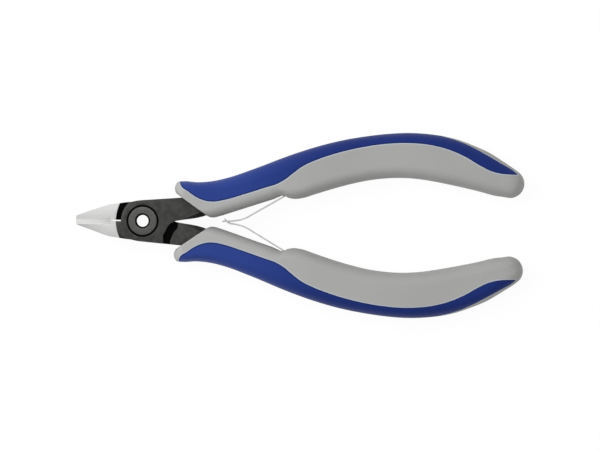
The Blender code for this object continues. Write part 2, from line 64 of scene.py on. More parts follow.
# %% Units and the joint's place
MM = 0.001
joints = {joint["name"]: joint for joint in frame["joints"]}
PIVOT = Vector(joints["jaw_pivot"]["pos_m"])
HALF_HEAD = 3.5  # the head is 7 mm thick


def in_metres(x, y, z=0.0):
    """A point of the tool frame, in millimetres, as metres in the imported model."""
    return PIVOT + Vector((x, y, z)) * MM


print("joint axis at", [round(value, 4) for value in PIVOT])

# %% [markdown]
# ## Turning a bmesh into a piece
# A finished piece keeps its place in its mesh and its object stays at the origin, so that a pattern on
# Object coordinates stays put when the joint turns. Faces that meet at a flat angle are shaded smooth and
# the others keep a crisp edge.

# %% Helpers for pieces
def mesh_of(bm, name):
    """The bmesh, drawn in millimetres in the tool frame, as a mesh in its place."""
    bmesh.ops.transform(bm, matrix=Matrix.Translation(PIVOT) @ Matrix.Scale(MM, 4), verts=bm.verts)
    mesh = bpy.data.meshes.new(name)
    bm.to_mesh(mesh)
    bm.free()
    return mesh


def make_piece(name, mesh, material, smooth_under=40):
    """An object at the origin with one material and smooth shading over its shallow edges."""
    piece = bpy.data.objects.new(name, mesh)
    bpy.context.scene.collection.objects.link(piece)
    mesh.materials.clear()
    mesh.materials.append(material)
    mesh.shade_smooth()
    mesh.set_sharp_from_angle(angle=math.radians(smooth_under))
    print(name, "has", len(mesh.polygons), "faces")
    return piece


# %% [markdown]
# ## The camera
# The photograph looks straight down on the pliers from far away, through a long lens, and the tool lies
# turned by one degree. One pixel of its 600 covers 0.279 mm of the tool.

# %% Camera
IMAGE_WIDTH = 600
PIXEL = 0.27927  # millimetres of the tool in one pixel
SENSOR = 36.0
CAMERA_HEIGHT = 3000.0  # above the middle of the tool
TOOL_TILT = math.radians(1.0)
VIEW_CENTRE = (43.94, -0.39)  # in the tool frame

lens_data = bpy.data.cameras.new("camera")
lens_data.sensor_width = SENSOR
lens_data.sensor_fit = "HORIZONTAL"
lens_data.lens = SENSOR * CAMERA_HEIGHT / (IMAGE_WIDTH * PIXEL)
lens_data.clip_start, lens_data.clip_end = 0.01, 20.0
camera = bpy.data.objects.new("camera", lens_data)
camera.location = in_metres(*VIEW_CENTRE, CAMERA_HEIGHT)
camera.rotation_euler = (0.0, 0.0, TOOL_TILT)
bpy.context.scene.collection.objects.link(camera)
bpy.context.scene.camera = camera
print("lens", round(lens_data.lens, 1), "mm")

# %% [markdown]
# ## Helpers for shader nodes
# A material is a small graph. One function adds a node, sets its options and fills its sockets, from a
# number, a colour or another node's output. The short ones after it make the nodes that materials share.

# %% Node helpers
def add_node(tree, kind, sockets=None, **options):
    """A shader node; a socket takes a value or the output of another node."""
    node = tree.nodes.new(kind)
    for name, value in options.items():
        setattr(node, name, value)
    for name, value in (sockets or {}).items():
        if isinstance(value, bpy.types.NodeSocket):
            tree.links.new(value, node.inputs[name])
        else:
            node.inputs[name].default_value = value
    return node


def math_node(tree, operation, first, second=0.0, third=0.0):
    """The output of a Math node."""
    node = add_node(tree, "ShaderNodeMath", {0: first, 1: second, 2: third}, operation=operation)
    return node.outputs[0]


def ramp(tree, value, low, high, from_value=0.0, to_value=1.0):
    """A smooth step of a value between two limits."""
    sockets = {"Value": value, "From Min": low, "From Max": high, "To Min": from_value, "To Max": to_value}
    return add_node(tree, "ShaderNodeMapRange", sockets, interpolation_type="SMOOTHSTEP").outputs[0]


def mix_colours(tree, share, first, second):
    """The output of a colour mix."""
    node = add_node(tree, "ShaderNodeMix", {0: share, 6: first, 7: second}, data_type="RGBA")
    return node.outputs[2]


def vector_node(tree, operation, first, second):
    """The output of a Vector Math node that takes two vectors."""
    return add_node(tree, "ShaderNodeVectorMath", {0: first, 1: second}, operation=operation).outputs[0]


def noise(tree, spot, scale, detail, **sockets):
    """The value of a noise over the mesh."""
    settings = {"Vector": spot, "Scale": scale, "Detail": detail, **sockets}
    return add_node(tree, "ShaderNodeTexNoise", settings).outputs["Fac"]


def bump_surface(tree, shader, height, strength, distance):
    """Bumps a shader's surface by a height; the distance is in millimetres."""
    sockets = {"Height": height, "Strength": strength, "Distance": distance * MM}
    tree.links.new(add_node(tree, "ShaderNodeBump", sockets).outputs[0], shader.inputs["Normal"])


def new_material(name):
    """A material with its tree, its Principled shader and the coordinates of the mesh."""
    material = bpy.data.materials.new(name)
    material.use_nodes = True
    tree = material.node_tree
    place = add_node(tree, "ShaderNodeTexCoord").outputs["Object"]
    return material, tree, tree.nodes["Principled BSDF"], place


def in_millimetres(tree, place):
    """Object coordinates as millimetres in the tool frame."""
    moved = vector_node(tree, "SUBTRACT", place, PIVOT)
    return add_node(tree, "ShaderNodeVectorMath", {0: moved, "Scale": 1 / MM}, operation="SCALE").outputs[0]


# %% [markdown]
# ## Floor, backdrop and light
# The photograph is a cut-out product shot on white. A pale floor lies under the tool and the world behind
# it is white to the camera and to reflections. The floor is part white glow and part matt surface, so it
# stays white and still takes a soft shadow. Bare steel shows little but what it reflects, and a room that
# is equally white all round makes it look flat. So what the steel reflects is brighter towards +Y and the
# jaws than towards -Y and the ends of the handles. The camera itself sees plain white.

# %% World and floor
AMBIENT = 0.52
ROOM_SLOPE = (-0.22, 0.6, 0.0)  # how much brighter reflections get from overhead to each axis
FLOOR_GLOW = 0.92
FLOOR_WHITE = 1.03
FLOOR_SIZE = 2.4


def seen_directly(tree):
    """1 for what the camera sees itself, in a reflection or through glass, and 0 for other light."""
    path = add_node(tree, "ShaderNodeLightPath").outputs
    shiny = math_node(tree, "MAXIMUM", path["Is Glossy Ray"], path["Is Transmission Ray"])
    return math_node(tree, "MAXIMUM", path["Is Camera Ray"], shiny)


world = bpy.data.worlds.new("white_studio")
world.use_nodes = True
world_tree = world.node_tree
brightness = math_node(world_tree, "MULTIPLY_ADD", seen_directly(world_tree), 1.0 - AMBIENT, AMBIENT)
way = add_node(world_tree, "ShaderNodeTexCoord").outputs["Generated"]
climb = add_node(world_tree, "ShaderNodeVectorMath", {0: way, 1: ROOM_SLOPE}, operation="DOT_PRODUCT")
in_reflections = add_node(world_tree, "ShaderNodeLightPath").outputs["Is Glossy Ray"]
slope = math_node(world_tree, "MULTIPLY_ADD", climb.outputs["Value"], in_reflections, 1.0)
world_tree.links.new(math_node(world_tree, "MULTIPLY", brightness, slope),
                     world_tree.nodes["Background"].inputs["Strength"])
world_tree.nodes["Background"].inputs["Color"].default_value = (1, 1, 1, 1)
bpy.context.scene.world = world

floor_material, tree, matt, place = new_material("pale_floor")
matt.inputs["Base Color"].default_value = (0.84, 0.84, 0.84, 1)
matt.inputs["Roughness"].default_value = 0.9
glow = add_node(tree, "ShaderNodeEmission", {"Color": (1, 1, 1, 1), "Strength": FLOOR_WHITE})
share = math_node(tree, "MULTIPLY", seen_directly(tree), FLOOR_GLOW)
floor_mix = add_node(tree, "ShaderNodeMixShader", {0: share, 1: matt.outputs[0], 2: glow.outputs[0]})
tree.links.new(floor_mix.outputs[0], tree.nodes["Material Output"].inputs["Surface"])

bm = bmesh.new()
bmesh.ops.create_grid(bm, x_segments=1, y_segments=1, size=FLOOR_SIZE / 2)
floor_mesh = bpy.data.meshes.new("floor")
bm.to_mesh(floor_mesh)
bm.free()
floor = make_piece("floor", floor_mesh, floor_material)

# %% [markdown]
# ## The lamp
# In the photograph the lower edges of both grips and the ends of the handles lie in shade, so the light
# hangs over the +Y side and the jaws. Its reflection would burn white spots into the ground jaws. In a
# studio a diffuser keeps the lamp's face out of the steel, and here the lamp is hidden from reflections.

# %% Lamp
def soft_lamp(name, place, size, watts):
    """A square area lamp that looks at the middle of the tool and isn't seen in reflections."""
    data = bpy.data.lights.new(name, "AREA")
    data.size = size
    data.energy = watts
    lamp = bpy.data.objects.new(name, data)
    lamp.location = place
    lamp.rotation_euler = (-Vector(place)).to_track_quat("-Z", "Y").to_euler()
    lamp.visible_glossy = False
    bpy.context.scene.collection.objects.link(lamp)


soft_lamp("lamp_over_far_side", (-0.75, 0.33, 0.95), 1.0, 10.6)

# %% [markdown]
# ## The two plastics
# Both grips are moulded in two colours: light grey with a satin, spark-eroded face, and dark blue. The
# grain is fine noise in the bump and in the gloss, with a slow drift of colour as moulded plastic has. The
# front end of each grip is painted lighter than its middle, as painted light. Each grip's mesh carries an
# attribute, the distance from the border between the colours. It paints light on the rolled lip: a bluish
# painted highlight on the grey side and painted shade on the blue side.

# %% Plastics
GRAIN_SIZE = 0.11  # millimetres
DRIFT_SCALE = 0.045
FRONT_END_X, MIDDLE_X = 20.0, 58.0  # where the front end's painted light starts to fade, and where it has gone
LIP_LIGHT_FADE = (0.14, 0.42)  # how far from the border the lip's painted light starts to fade, and where it has gone


def moulded_plastic(name, colour, lip_painted_light_colour, roughness, front_painted_light_colour, grain):
    """Satin plastic with painted light: lighter at the grip's front end, fading by its middle, and on the
    lip.
    """
    material, tree, shader, place = new_material(name)
    spot = in_millimetres(tree, place)
    fine = noise(tree, spot, 0.5 / GRAIN_SIZE, 3.0)
    drift = noise(tree, spot, DRIFT_SCALE, 2.0)
    x_place = add_node(tree, "ShaderNodeSeparateXYZ", {0: spot}).outputs["X"]
    # Painted light: the front end of the grip is coloured lighter than its middle.
    body_colour = mix_colours(tree, ramp(tree, x_place, FRONT_END_X, MIDDLE_X), (*front_painted_light_colour, 1),
                              (*colour, 1))
    # Painted light on the lip by the border: a bluish painted highlight on the grey, painted shade on the
    # blue.
    border = add_node(tree, "ShaderNodeAttribute", attribute_name="border").outputs["Fac"]
    lip_light_share = ramp(tree, math_node(tree, "ABSOLUTE", border), *LIP_LIGHT_FADE, 1.0, 0.0)
    with_lip_light = mix_colours(tree, lip_light_share, body_colour, (*lip_painted_light_colour, 1))
    speck = ramp(tree, fine, 0.3, 0.7, 0.955, 1.045)
    cloud = ramp(tree, drift, 0.3, 0.7, 0.97, 1.03)
    shade = math_node(tree, "MULTIPLY", speck, cloud)
    coloured = add_node(tree, "ShaderNodeVectorMath", {0: with_lip_light, "Scale": shade}, operation="SCALE")
    tree.links.new(coloured.outputs[0], shader.inputs["Base Color"])
    gloss = ramp(tree, fine, 0.25, 0.75, roughness - 0.06, roughness + 0.08)
    tree.links.new(gloss, shader.inputs["Roughness"])
    bump_surface(tree, shader, fine, grain, 0.02)
    shader.inputs["Specular IOR Level"].default_value = 0.14
    print("material", name)
    return material


# The third colour is the lip's painted highlight on the grey and its painted shade on the blue; the last
# colour is the front end's painted light.
grey_plastic = moulded_plastic("grey_plastic", (0.397, 0.397, 0.389), (0.49, 0.54, 0.66), 0.58,
                               (0.438, 0.436, 0.432), 0.5)
blue_plastic = moulded_plastic("blue_plastic", (0.009, 0.025, 0.162), (0.010, 0.021, 0.112), 0.52,
                               (0.024, 0.052, 0.255), 0.4)

# %% [markdown]
# ## The steels
# A half is one forging with two finishes. Its head and tang are burnished dark and its jaw is ground
# bright. The border between the two is the grinding shoulder, an arc about a point behind the joint, so
# the material finds it by distance. Painted shade in black lies on the lap's faces near the middle of the
# thickness, in the gap round the screw's seat and on the faces of the head that tilt away from the top.
# Grinding leaves fine lines along the jaw, made by noise that is stretched along X. A painted highlight
# lightens the edge of the lap beside its open recess.

# %% Steel of the halves
SHOULDER_CENTRE_X = 3.9
SHOULDER_RADIUS = 11.3
SEAT_RADIUS = 4.4  # of the counterbore that the screw's head lies in
PLATE_CENTRE_X = 1.0
PLATE_RADIUS = 7.0
JAWS_END_X = -5.0  # ground steel lies in front of it
HIGHLIGHT_END_X = -3.0  # the painted highlight beside the recess lies in front of it
# The black is painted shade; the lighter grey below it is a painted highlight.
PAINTED_SHADE_BLACK = (0.003, 0.003, 0.003, 1)
EDGE_HIGHLIGHT = (0.078, 0.078, 0.076, 1)


def plan_radius(tree, spot, centre_x):
    """How far a point is, seen from above, from a centre on the tool's long axis."""
    centred = vector_node(tree, "SUBTRACT", spot, (centre_x, 0, 0))
    flat = vector_node(tree, "MULTIPLY", centred, (1, 1, 0))
    return add_node(tree, "ShaderNodeVectorMath", {0: flat}, operation="LENGTH").outputs["Value"]


def half_steel():
    """Burnished head and bright ground jaw in one material, with painted shade in black and a painted
    highlight.
    """
    material, tree, shader, place = new_material("dark_steel")
    spot = in_millimetres(tree, place)
    axes = add_node(tree, "ShaderNodeSeparateXYZ", {0: spot}).outputs
    reach = plan_radius(tree, spot, SHOULDER_CENTRE_X)
    ahead = math_node(tree, "LESS_THAN", axes["X"], JAWS_END_X)
    ground = math_node(tree, "MULTIPLY", ramp(tree, reach, SHOULDER_RADIUS, SHOULDER_RADIUS + 0.12), ahead)

    lines = noise(tree, vector_node(tree, "MULTIPLY", spot, (0.35, 9.0, 9.0)), 1.0, 4.0)
    mottle = noise(tree, spot, 0.6, 6.0, Roughness=0.62)
    up = add_node(tree, "ShaderNodeSeparateXYZ",
                  {0: add_node(tree, "ShaderNodeNewGeometry").outputs["Normal"]}).outputs["Z"]
    # Painted shade: black on faces that tilt away from the top, on the lap near the middle of the thickness
    # and in the gap round the screw's seat.
    unshaded_by_tilt = ramp(tree, math_node(tree, "ABSOLUTE", up), 0.68, 0.98)
    outside = ramp(tree, math_node(tree, "ABSOLUTE", axes["Z"]), 0.25, 0.6)
    past_seat = ramp(tree, plan_radius(tree, spot, 0.0), SEAT_RADIUS, SEAT_RADIUS + 0.16)
    out_of_painted_shade = math_node(tree, "MULTIPLY", math_node(tree, "MULTIPLY", unshaded_by_tilt, outside), past_seat)

    dark = mix_colours(tree, ramp(tree, mottle, 0.35, 0.65), (0.050, 0.050, 0.048, 1),
                       (0.070, 0.070, 0.068, 1))
    # Painted highlight: a lighter band along the edge of the lap beside its recess.
    from_plate = plan_radius(tree, spot, PLATE_CENTRE_X)
    ahead_of_joint = math_node(tree, "LESS_THAN", axes["X"], HIGHLIGHT_END_X)
    by_recess = math_node(tree, "GREATER_THAN", math_node(tree, "MULTIPLY", axes["Y"], axes["Z"]), 0.5)
    edge_highlight = math_node(tree, "MULTIPLY", ramp(tree, from_plate, PLATE_RADIUS - 0.8, PLATE_RADIUS - 0.4),
                     math_node(tree, "MULTIPLY", by_recess, ahead_of_joint))
    head = mix_colours(tree, out_of_painted_shade, PAINTED_SHADE_BLACK, mix_colours(tree, edge_highlight, dark, EDGE_HIGHLIGHT))
    bright = mix_colours(tree, ramp(tree, lines, 0.3, 0.7), (0.595, 0.60, 0.59, 1), (0.655, 0.66, 0.65, 1))
    tree.links.new(mix_colours(tree, ground, head, bright), shader.inputs["Base Color"])
    tree.links.new(ramp(tree, lines, 0.2, 0.8, 0.40, 0.52), shader.inputs["Roughness"])
    shader.inputs["Metallic"].default_value = 0.95
    bump_surface(tree, shader, math_node(tree, "ADD", lines, mottle), 0.25, 0.01)
    print("material dark_steel")
    return material


dark_steel = half_steel()

# %% [markdown]
# ## The steel of the screw and of the spring
# The screw and its nut come off a lathe, so their faces carry fine rings. A noise with one dimension, fed
# with the distance from the joint's axis, draws them. The bore, its bell mouth and the faces that lie
# deeper than the outer faces are painted matt black, as painted shade. The spring's strip is rolled, so its
# lines run along it: the noise is squeezed across the strip's width.

# %% Steel of the joint screw and the spring
FACE_SHADE_FADE = (3.05, 3.36)  # the height over which the painted black shade gives way to the turned face
MOUTH_SHADE_FADE = (2.02, 2.2)  # the radius over which it does


def turned_steel():
    """Dark steel with the fine rings that a lathe leaves round the joint's axis."""
    material, tree, shader, place = new_material("joint_steel")
    spot = in_millimetres(tree, place)
    radius = plan_radius(tree, spot, 0.0)
    rings = add_node(tree, "ShaderNodeTexNoise", {"W": radius, "Scale": 9.0, "Detail": 3.0},
                     noise_dimensions="1D").outputs["Fac"]
    mottle = noise(tree, spot, 2.2, 4.0)
    both = math_node(tree, "MULTIPLY", math_node(tree, "ADD", rings, mottle), 0.5)
    face = mix_colours(tree, ramp(tree, both, 0.35, 0.65), (0.084, 0.083, 0.081, 1),
                       (0.132, 0.131, 0.128, 1))
    height = add_node(tree, "ShaderNodeSeparateXYZ", {0: spot}).outputs["Z"]
    # Painted shade: matt black, without metal, in the bore, the bell mouth and on the deeper faces.
    outside = ramp(tree, math_node(tree, "ABSOLUTE", height), *FACE_SHADE_FADE)
    past_mouth = ramp(tree, radius, *MOUTH_SHADE_FADE)
    shown = math_node(tree, "MULTIPLY", outside, past_mouth)
    tree.links.new(mix_colours(tree, shown, (0.006, 0.006, 0.006, 1), face), shader.inputs["Base Color"])
    tree.links.new(ramp(tree, rings, 0.3, 0.7, 0.32, 0.44), shader.inputs["Roughness"])
    tree.links.new(math_node(tree, "MULTIPLY", shown, 0.95), shader.inputs["Metallic"])
    shader.inputs["Specular IOR Level"].default_value = 0.0
    bump_surface(tree, shader, rings, 0.35, 0.012)
    print("material joint_steel")
    return material


def strip_steel():
    """Bright rolled strip, with the long faint lines of the rolling."""
    material, tree, shader, place = new_material("spring_steel")
    spot = in_millimetres(tree, place)
    lines = noise(tree, vector_node(tree, "MULTIPLY", spot, (0.5, 0.5, 14.0)), 1.0, 3.0)
    bright = mix_colours(tree, ramp(tree, lines, 0.3, 0.7), (0.51, 0.512, 0.515, 1), (0.60, 0.602, 0.605, 1))
    tree.links.new(bright, shader.inputs["Base Color"])
    tree.links.new(ramp(tree, lines, 0.2, 0.8, 0.2, 0.32), shader.inputs["Roughness"])
    shader.inputs["Metallic"].default_value = 1.0
    bump_surface(tree, shader, lines, 0.2, 0.008)
    print("material spring_steel")
    return material


joint_steel = turned_steel()
spring_steel = strip_steel()

# %% [markdown]
# ## The two steel halves
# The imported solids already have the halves' exact form, but every edge on them is a knife edge. A real
# forging is tumbled before it is burnished, so its outline is broken by about a quarter of a millimetre.
# A copy of each solid is merged and its flat faces joined, and then bmesh bevels the edges: broadly round
# the outside of the head, finely elsewhere, and not at all on the cutting edges.

# %% Halves
HEAD_BREAK = 0.26
FINE_BREAK = 0.07
HEAD_BEND, FINE_BEND = 40, 24  # the least bend, in degrees, of an edge that gets the one or the other
LEAST_LENGTH = 0.3  # of an edge that gets the fine break
MERGE_DISTANCE = 0.004
FACE_NEAR, SEAT_NEAR, SHOULDER_NEAR = 0.02, 0.15, 0.12  # how near an edge lies to count as part of each
CLOSING_Y, CLOSING_X = 0.3, -8.0  # the cutting edges lie nearer the middle and further forward than this
NEARLY_FLAT = 0.975  # the least upward share of the normal on the ground faces


def sharp_edges(bm, angle):
    """The edges whose two faces bend outwards by more than an angle in degrees."""
    return [e for e in bm.edges if e.is_manifold and e.calc_face_angle_signed(0.0) > math.radians(angle)]


def soften(bm, edges, width, segments):
    """Bevels a few edges by a width in millimetres."""
    bmesh.ops.bevel(bm, geom=edges, offset=width, offset_type="OFFSET", segments=segments, profile=0.5,
                    affect="EDGES", material=-1, clamp_overlap=True, loop_slide=True)


def merged_copy(node):
    """A node's solid as a bmesh in the tool frame, with its loose triangles merged into flat faces."""
    bm = bmesh.new()
    bm.from_mesh(frame["nodes"][node].data)
    bmesh.ops.transform(bm, matrix=Matrix.Scale(1 / MM, 4) @ Matrix.Translation(-PIVOT), verts=bm.verts)
    bmesh.ops.remove_doubles(bm, verts=bm.verts, dist=MERGE_DISTANCE)
    bmesh.ops.dissolve_limit(bm, angle_limit=math.radians(0.6), verts=bm.verts, edges=bm.edges)
    return bm


def on_head_outline(edge):
    """Whether an edge runs round the outside of the head's front or back face."""
    if any(abs(abs(v.co.z) - HALF_HEAD) > FACE_NEAR for v in edge.verts):
        return False
    middle = (edge.verts[0].co + edge.verts[1].co) / 2
    in_seat = abs(math.hypot(middle.x, middle.y) - SEAT_RADIUS) < SEAT_NEAR
    reach = math.hypot(middle.x - SHOULDER_CENTRE_X, middle.y)
    on_shoulder = abs(reach - SHOULDER_RADIUS) < SHOULDER_NEAR
    return not in_seat and not (on_shoulder and middle.x < 0)


def is_cutting_edge(edge):
    """Whether an edge lies in the closing faces of the jaws."""
    return all(abs(v.co.y) < CLOSING_Y and v.co.x < CLOSING_X for v in edge.verts)


def softened_half(node):
    """A half with its edges broken as on the forging."""
    bm = merged_copy(node)
    soften(bm, [e for e in sharp_edges(bm, HEAD_BEND) if on_head_outline(e)], HEAD_BREAK, 3)
    rest = [e for e in sharp_edges(bm, FINE_BEND)
            if not is_cutting_edge(e) and e.calc_length() > LEAST_LENGTH]
    soften(bm, rest, FINE_BREAK, 2)
    bmesh.ops.recalc_face_normals(bm, faces=bm.faces)
    return mesh_of(bm, node)


def crease_facets(piece):
    """Keeps the borders of the shallow facets crisp, as a grinding wheel leaves them."""
    bm = bmesh.new()
    bm.from_mesh(piece.data)
    for edge in bm.edges:
        flat_on_both_sides = edge.is_manifold and all(abs(f.normal.z) > NEARLY_FLAT for f in edge.link_faces)
        if flat_on_both_sides and edge.calc_face_angle() > math.radians(4):
            edge.smooth = False
    bm.to_mesh(piece.data)
    bm.free()


front_half = make_piece("front_half_steel", softened_half("front_half"), dark_steel, 32)
rear_half = make_piece("rear_half_steel", softened_half("rear_half"), dark_steel, 32)
crease_facets(front_half)
crease_facets(rear_half)

# %% [markdown]
# ## The hollow joint screw and its ring nut
# Both are lathe work, so each is a profile spun round the joint's axis. The screw's face has a turned
# step, a chamfered rim and a bell mouth that leads into the through bore. The nut on the back is a ring
# with two slots for a pin spanner, cut by planes.

# %% Screw and nut
TURN_STEPS = 144
BORE = 1.65
MOUTH = 2.1
SHANK = 3.0
FLANGE = 3.95
FACE_Z = 3.45
FLANGE_Z = 2.3


def turned_bmesh(profile):
    """A closed profile of (radius, height) spun round the joint's axis."""
    bm = bmesh.new()
    corners = [bm.verts.new((radius, 0.0, height)) for radius, height in profile]
    edges = [bm.edges.new(pair) for pair in zip(corners, corners[1:] + corners[:1])]
    bmesh.ops.spin(bm, geom=corners + edges, axis=(0, 0, 1), cent=(0, 0, 0), angle=2 * math.pi,
                   steps=TURN_STEPS, use_merge=True)
    bmesh.ops.remove_doubles(bm, verts=bm.verts, dist=0.0005)
    bmesh.ops.recalc_face_normals(bm, faces=bm.faces)
    return bm


screw_profile = [(BORE, -3.0), (1.74, -3.25), (MOUTH, -FACE_Z), (2.94, -FACE_Z), (SHANK, -3.39),
                 (SHANK, FLANGE_Z), (3.87, FLANGE_Z), (FLANGE, 2.38), (FLANGE, 3.3), (3.91, 3.38),
                 (3.82, 3.42), (2.9, FACE_Z), (2.84, 3.42), (2.72, 3.42), (2.66, FACE_Z), (2.24, FACE_Z),
                 (2.12, 3.41), (1.93, 3.27), (1.76, 3.05), (BORE, 2.7)]
screw_mesh = mesh_of(turned_bmesh(screw_profile), "joint_screw")
joint_screw = make_piece("joint_screw_turned", screw_mesh, joint_steel, 25)

nut_profile = [(3.1, -3.38), (3.16, -FACE_Z), (3.85, -FACE_Z), (FLANGE, -3.36), (FLANGE, -2.36),
               (3.89, -FLANGE_Z), (3.16, -FLANGE_Z), (3.1, -2.36)]
SLOT_HALF = 0.45
SLOT_DEPTH = 0.6
nut_bm = turned_bmesh(nut_profile)
for side in (-1, 1):
    bmesh.ops.bisect_plane(nut_bm, geom=nut_bm.verts[:] + nut_bm.edges[:] + nut_bm.faces[:],
                           plane_co=(0, side * SLOT_HALF, 0), plane_no=(0, 1, 0), dist=1e-5)
slot_floor_z = -FACE_Z + SLOT_DEPTH
bmesh.ops.bisect_plane(nut_bm, geom=nut_bm.verts[:] + nut_bm.edges[:] + nut_bm.faces[:],
                       plane_co=(0, 0, slot_floor_z), plane_no=(0, 0, 1), dist=1e-5)
in_slot = [f for f in nut_bm.faces if abs(f.calc_center_median().y) < SLOT_HALF
           and f.calc_center_median().z < slot_floor_z]
bmesh.ops.delete(nut_bm, geom=in_slot, context="FACES")
open_edges = [e for e in nut_bm.edges if e.is_boundary]
bmesh.ops.holes_fill(nut_bm, edges=open_edges, sides=0)
bmesh.ops.recalc_face_normals(nut_bm, faces=nut_bm.faces)
joint_nut = make_piece("joint_nut_turned", mesh_of(nut_bm, "joint_nut"), joint_steel, 25)

# %% [markdown]
# ## The form of a grip
# A grip is drawn by its sections, from the front end to the tail. Each has a point on the outer edge and
# one on the inner edge, as seen from above, and half of its thickness. Between them runs a flat face with
# round edges. The tail's sections turn about the centre of its round end.

# %% Grip sections
GRIP_SECTIONS = [
    (9.75, 7.55, 16.95, 2.6, 4.7), (9.35, 7.75, 17.6, 2.0, 5.25), (8.8, 9.2, 18.5, 1.45, 5.5),
    (9.5, 10.95, 19.8, 1.28, 5.5), (11.4, 11.28, 21.6, 1.72, 5.5), (15.0, 11.07, 24.6, 2.7, 5.4),
    (19.0, 11.4, 28.0, 3.84, 5.2), (24.0, 12.6, 32.0, 5.2, 5.1), (29.5, 14.56, 36.0, 6.53, 5.1),
    (33.0, 15.91, 39.2, 7.55, 5.15), (34.6, 16.55, 40.9, 7.05, 5.2), (36.3, 17.25, 42.4, 6.86, 5.25),
    (39.0, 18.33, 44.4, 7.1, 5.35), (44.0, 20.17, 48.0, 8.24, 5.5), (50.0, 22.08, 53.0, 9.86, 5.5),
    (56.0, 23.6, 58.0, 11.27, 5.5), (62.0, 24.7, 63.0, 12.4, 5.5), (68.0, 25.48, 68.0, 13.04, 5.5),
    (74.0, 25.85, 73.0, 13.21, 5.5), (80.0, 25.57, 78.0, 12.85, 5.5), (83.6, 25.1, 81.4, 12.34, 5.5),
    (88.0, 24.1, 85.6, 11.57, 5.5), (92.0, 22.66, 89.5, 10.77, 5.5), (96.5, 20.7, 94.0, 9.77, 5.4),
    (100.5, 18.25, 98.0, 8.75, 5.2),
]
TAIL_CENTRE = np.array((102.4, 12.15))
TAIL_RADIUS = 4.0
TAIL_AXIS = math.radians(-25.5)
TAIL_HALF_ARC = math.radians(80.5)
TAIL_HALF_THICKNESS = 4.9
TAIL_SHARES = (1.0, 0.86, 0.72, 0.58, 0.44, 0.3, 0.17, 0.06, 0.005)
NOSE_SHARES = (0.01, 0.5, 0.8, 0.93)  # of the front section, for the nearly flat front face
NOSE_BULGE = 0.12


def tail_sections():
    """Sections round the tail, which is a ball drawn out in its thickness."""
    made = []
    for share in TAIL_SHARES:
        turn = TAIL_HALF_ARC * share
        ways = (TAIL_AXIS + turn, TAIL_AXIS - turn)
        outer, inner = (TAIL_CENTRE + TAIL_RADIUS * np.array((math.cos(way), math.sin(way))) for way in ways)
        made.append((*outer, *inner, TAIL_HALF_THICKNESS * math.sin(turn)))
    return made


def nose_sections():
    """Sections that close the front end with a face that bulges a little towards the head."""
    outer, inner, deep = np.array(GRIP_SECTIONS[0][:2]), np.array(GRIP_SECTIONS[0][2:4]), GRIP_SECTIONS[0][4]
    middle, across = (outer + inner) / 2, (outer - inner) / 2
    forwards = np.array((across[1], -across[0])) / -np.linalg.norm(across)
    made = []
    for share in NOSE_SHARES:
        centre = middle + forwards * NOSE_BULGE * (1 - share ** 2)
        made.append((*(centre + across * share), *(centre - across * share), deep * share))
    return made


sections = np.array(nose_sections() + GRIP_SECTIONS + tail_sections())
print(len(sections), "sections drawn for a grip")

# %% [markdown]
# ## A smooth curve through uneven points
# The drawn sections are close together where the form turns quickly and far apart where it doesn't. A
# cubic through them whose slopes allow for the spacing doesn't bulge between near neighbours. The same
# function draws the border between the two colours and the route of the spring.

# %% Smooth curve
def smooth_through(rows, count):
    """That many points, evenly spread along a smooth curve through the rows."""
    rows = np.array(rows, float)
    gaps = np.linalg.norm(np.diff(rows, axis=0), axis=1)
    knots = np.concatenate(([0.0], np.cumsum(gaps)))
    rates = np.diff(rows, axis=0) / gaps[:, None]
    weights = gaps[:, None]
    inner = (rates[:-1] * weights[1:] + rates[1:] * weights[:-1]) / (weights[1:] + weights[:-1])
    slopes = np.vstack((rates[:1], inner, rates[-1:]))
    places = np.linspace(0.0, knots[-1], count)
    index = np.clip(np.searchsorted(knots, places, side="right") - 1, 0, len(gaps) - 1)
    span = gaps[index][:, None]
    t = (places - knots[index])[:, None] / span
    start, end = rows[index], rows[index + 1]
    return (start * (2 * t ** 3 - 3 * t ** 2 + 1) + slopes[index] * span * (t ** 3 - 2 * t ** 2 + t)
            + end * (3 * t ** 2 - 2 * t ** 3) + slopes[index + 1] * span * (t ** 3 - t ** 2))


# %% [markdown]
# ## The grip's skin
# A flat grid from bmesh is wrapped into the closed skin: its columns become stations along the grip and
# its rows run round each section. The wrap spaces the rows evenly, so the flat faces get as many quads
# as the round edges and there is enough mesh everywhere to cut and press. The first and the last ring
# shrink to a point, which closes the poles. Each point keeps the way inwards, because walls are sunk along
# it later, when the faces beside them no longer show where it was.

# %% Grip skin
STATIONS = 400
RING_POINTS = 104
EDGE_ROUNDING = 3.6
EDGE_POWER = 2.2
QUARTER_SAMPLES = 60
HALF_GRIP = 5.5  # the grips are at most 11 mm thick


def section_quarter(half_width, half_thickness):
    """Evenly spaced points of a quarter section, from its side to the middle of its face."""
    rounding = min(EDGE_ROUNDING, 0.8 * half_width)
    turn = np.linspace(0.0, math.pi / 2, QUARTER_SAMPLES)
    across = half_width - rounding + rounding * np.cos(turn).clip(0) ** (2 / EDGE_POWER)
    up = half_thickness * np.sin(turn) ** (2 / EDGE_POWER)
    across, up = np.append(across, 0.0), np.append(up, half_thickness)
    run = np.concatenate(([0.0], np.cumsum(np.hypot(np.diff(across), np.diff(up)))))
    places = np.linspace(0.0, run[-1], RING_POINTS // 4 + 1)
    return np.interp(places, run, across), np.interp(places, run, up)


